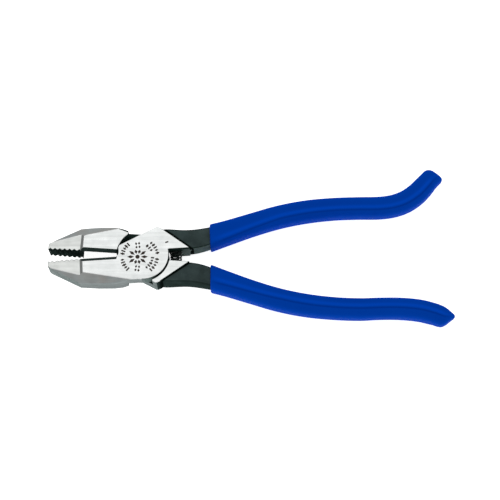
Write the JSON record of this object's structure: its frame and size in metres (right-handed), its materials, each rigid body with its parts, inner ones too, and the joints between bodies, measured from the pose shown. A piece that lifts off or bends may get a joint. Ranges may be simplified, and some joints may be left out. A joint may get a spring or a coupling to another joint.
{
  "type": "lineman pliers",
  "caption": "Side-cutting lineman pliers: serrated jaws, cutting knives, a riveted lap joint with a return spring, dipped grips on a nearly straight handle and a hook-bent one.",
  "frame": {"origin": "where the rivet's axis meets the rest face, the ground back face of the head", "axes": "+X from the rivet along the handles, -X along the jaws; +Y towards the hook-bent handle; +Z from the rest face to the front face"},
  "size_m": [0.2365, 0.096, 0.016],
  "materials": {
    "forged_steel": "ground bright on the head's faces, black oxide on the handles",
    "rivet_steel": "ground flush with the head's faces",
    "spring_steel": "dark oiled wire",
    "dipped_vinyl": "soft satin dip"
  },
  "bodies": {
    "hook_half": {"hook_handle_half": "forged_steel", "hook_handle_grip": "dipped_vinyl", "pivot_rivet": "rivet_steel", "return_spring": "spring_steel"},
    "straight_half": {"straight_handle_half": "forged_steel", "straight_handle_grip": "dipped_vinyl"}
  },
  "joints": [
    {"name": "jaw_pivot", "type": "hinge", "parent": "hook_half", "child": "straight_half", "pos_m": [0, 0, 0.008], "axis": [0, 0, -1], "range_deg": [-7.5, 20], "stiffness_Nm_per_rad": 3.2, "deforming": ["return_spring"]}
  ]
}
